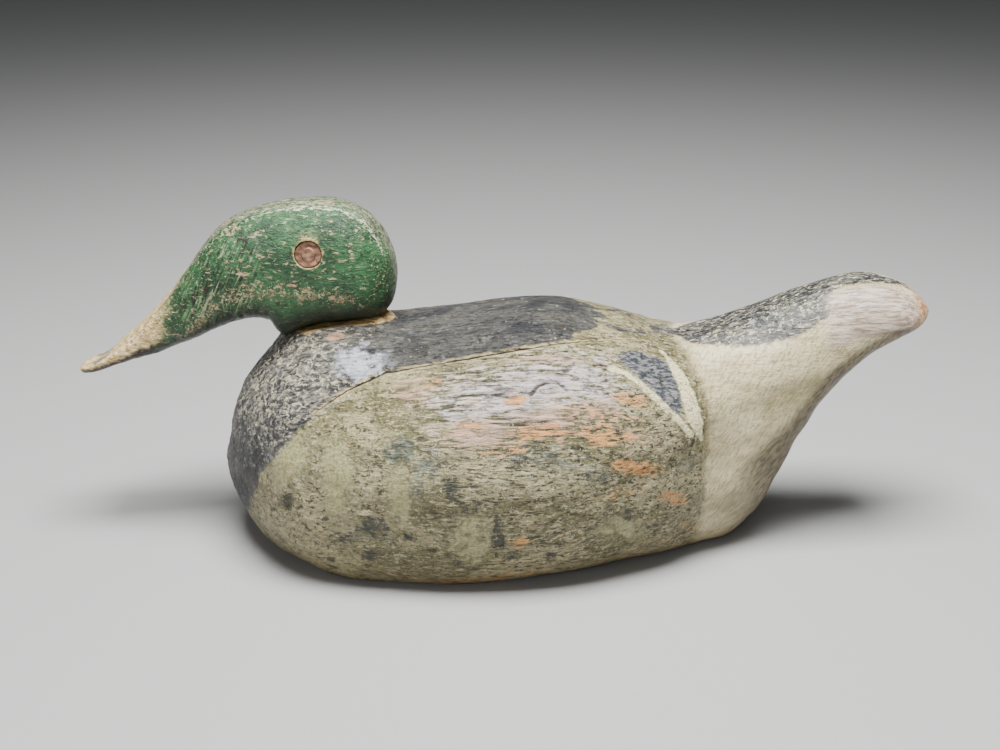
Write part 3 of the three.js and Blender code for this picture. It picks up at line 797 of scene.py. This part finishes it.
# Crown and brow rubbed to grey, cream along their edges, with small knocks of bare wood; the pale edge of the crown
# is partly a painted highlight, and the head's underside gets painted shade
worn_grey = blend(t, fade(t, mottle, 0.42, 0.6), colour(70, 80, 62), colour(150, 152, 128))
worn_grey = blend(t, part_of(t, fade(t, specks, 0.54, 0.62), 0.7), worn_grey, colour(212, 202, 166))
crown = calc(t, "ADD", stored(t, "crown_wear"), calc(t, "MULTIPLY", calc(t, "SUBTRACT", ragged, 0.5), 3.0))
paint = blend(t, part_of(t, fade(t, crown, 0.3, 1.0), 0.75), green, worn_grey)
pale = calc(t, "ADD", stored(t, "edge_wear_and_highlight"), calc(t, "MULTIPLY", calc(t, "SUBTRACT", dashes, 0.5), 7.0))
paint = blend(t, part_of(t, fade(t, pale, 0.6, 1.2), 0.85), paint, colour(212, 212, 184))
brow = calc(t, "ADD", stored(t, "brow_wear"), calc(t, "MULTIPLY", calc(t, "SUBTRACT", mottle, 0.5), 7.0))
paint = blend(t, part_of(t, fade(t, brow, 0.5, 1.1), 0.8), paint, blend(t, fade(t, specks, 0.4, 0.6), colour(150, 132, 92), colour(214, 200, 154)))
brown = blend(t, fade(t, mottle, 0.4, 0.6), colour(92, 70, 48), colour(196, 166, 128))
wear = calc(t, "ADD", stored(t, "head_wear"), calc(t, "MULTIPLY", calc(t, "SUBTRACT", mottle, 0.5), 5.0))
paint = blend(t, part_of(t, fade(t, wear, 0.8, 1.2), 0.8), paint, brown)
# Painted shade under the head, where it turns down away from the light
under = calc(t, "ADD", stored(t, "under"), calc(t, "MULTIPLY", ragged_mm, 0.02))
paint = blend(t, part_of(t, fade(t, under, 0.34, 0.7), 0.9), paint, blend(t, fade(t, mottle, 0.45, 0.6), colour(10, 22, 12), colour(44, 44, 26)))

# Ochre bill with painted shade underneath, and a slate patch near its tip
ochre = blend(t, fade(t, mottle, 0.38, 0.6), colour(186, 152, 92), colour(240, 218, 168))
ochre = blend(t, part_of(t, fade(t, dashes, 0.48, 0.41), 0.7), ochre, colour(120, 96, 58))
# Painted shade under the bill
bill_underside_shade = calc(t, "ADD", stored(t, "under"), calc(t, "MULTIPLY", ragged_mm, 0.06))
ochre = blend(t, fade(t, bill_underside_shade, 0.05, 0.4), ochre, colour(40, 28, 14))
bill_depth = calc(t, "ADD", stored(t, "bill"), calc(t, "MULTIPLY", ragged_mm, 1.6))
paint = blend(t, fade(t, bill_depth, -6.0, 6.0), paint, ochre)
slate_depth = calc(t, "ADD", stored(t, "tip_slate"), calc(t, "MULTIPLY", ragged_mm, 0.1))
paint = blend(t, part_of(t, fade(t, slate_depth, 0.0, 0.3), 0.85), paint, blend(t, fade(t, specks, 0.4, 0.6), colour(56, 60, 66), colour(150, 148, 140)))

# Ochre paint rubbed bare round the eye, painted shade in its recess and just above the joint with the body, and
# darker paint in the sunk cuts
ring = calc(t, "SUBTRACT", 7.0, stored(t, "eye_ring"))
ring = calc(t, "ADD", ring, calc(t, "MULTIPLY", stored(t, "eye_above"), 1.2))
ring = fade(t, calc(t, "ADD", ring, calc(t, "MULTIPLY", ragged_mm, 0.5)), -0.5, 0.7)
halo = calc(t, "MULTIPLY", stored(t, "eye_above"), fade(t, dashes, 0.38, 0.6))
paint = blend(t, part_of(t, halo, 0.5), paint, colour(196, 186, 128))
paint = blend(t, part_of(t, ring, 0.85), paint, blend(t, fade(t, specks, 0.4, 0.6), colour(150, 128, 76), colour(226, 206, 142)))
# Painted shade on the recess wall round the tack
paint = blend(t, fade(t, stored(t, "eye_ring"), 6.6, 6.3), paint, colour(60, 38, 22))
# Darker paint in the sunk cuts and nicks
paint = blend(t, part_of(t, fade(t, stored(t, "relief"), -0.08, -0.3), 0.6), paint, colour(30, 30, 18))
# Painted shade on the head just above its joint with the body
paint = blend(t, part_of(t, fade(t, stored(t, "low"), 4.0, 0.5), 0.7), paint, colour(14, 14, 8))
t.links.new(paint, gloss.inputs["Base Color"])
t.links.new(calc(t, "ADD", 0.18, calc(t, "MULTIPLY", specks, 0.3)), gloss.inputs["Roughness"])
height = calc(t, "ADD", calc(t, "MULTIPLY", calc(t, "MULTIPLY", rasped, rasp), 1.2), calc(t, "MULTIPLY", mottle, 0.9))
height = calc(t, "ADD", height, calc(t, "MULTIPLY", specks, 0.4))
bump = add(t, "Bump", {"Strength": 1.0, "Distance": 0.001, "Height": height})
t.links.new(bump.outputs["Normal"], gloss.inputs["Normal"])
head.data.materials.append(head_paint)
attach(head, "root")
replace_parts(head, "head")


# Eyes: round copper tacks with a low button, pressed into the recess of each cheek
copper = bpy.data.materials.new("tarnished_copper")
copper.use_nodes = True
t = copper.node_tree
gloss = t.nodes["Principled BSDF"]
tarnish = stretched_noise(t, (4.0, 3.0, 2.0), 4.0, 0.6, 0.2)
t.links.new(blend(t, fade(t, tarnish, 0.35, 0.65), colour(112, 80, 62), colour(178, 138, 114)), gloss.inputs["Base Color"])
gloss.inputs["Metallic"].default_value = 0.6
gloss.inputs["Roughness"].default_value = 0.45


def eye_tack(name, side):
    radius, button = EYE_DIAMETER / 2, 3.3
    profile = [
        (0, 0), (radius, 0), (radius, 0.7), (0.985 * radius, 0.88), (0.96 * radius, 0.97),
        (0.93 * radius, 1), (0.88 * radius, 0.93), (0.75 * radius, 0.66), (1.1 * button, 0.5),
        (1.02 * button, 0.56), (button, 0.9), (0.94 * button, 1.12), (0.85 * button, 1.24),
        (0.7 * button, 1.3), (0.4 * button, 1.28), (0, 1.26),
    ]
    sides = 72
    points, faces = [(0, 0, 0)], []
    for r, h in profile[1:-1]:
        for k in range(sides):
            angle = 2 * math.pi * k / sides
            points.append((r * math.cos(angle), h, r * math.sin(angle)))
    points.append((0, profile[-1][1], 0))
    for k in range(sides):
        faces.append((0, 1 + k, 1 + (k + 1) % sides))
        for ring in range(len(profile) - 3):
            a, b = 1 + ring * sides + k, 1 + ring * sides + (k + 1) % sides
            faces.append((a, a + sides, b + sides, b))
        a, b = 1 + (len(profile) - 3) * sides + k, 1 + (len(profile) - 3) * sides + (k + 1) % sides
        faces.append((a, len(points) - 1, b))
    p = np.array(points, float)
    lift = p[:, 1] + JOINT_GAP - RECESS_DEPTH
    out = np.array([0, side * math.cos(EYE_LEAN), math.sin(EYE_LEAN)])
    up = np.array([0, -side * math.sin(EYE_LEAN), math.cos(EYE_LEAN)])
    centre = np.array([EYE_X, side * cheek_half, EYE_Z])
    placed = centre + p[:, :1] * np.array([1, 0, 0]) + p[:, 2:] * up + lift[:, None] * out
    if side < 0:
        faces = [face[::-1] for face in faces]
    tack = mesh_piece(name, placed, faces)
    tack.data.materials.append(copper)
    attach(tack, "root")
    return tack


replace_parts(eye_tack("left_copper_tack", -1), "left_eye_tack")
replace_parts(eye_tack("right_copper_tack", 1), "right_eye_tack")
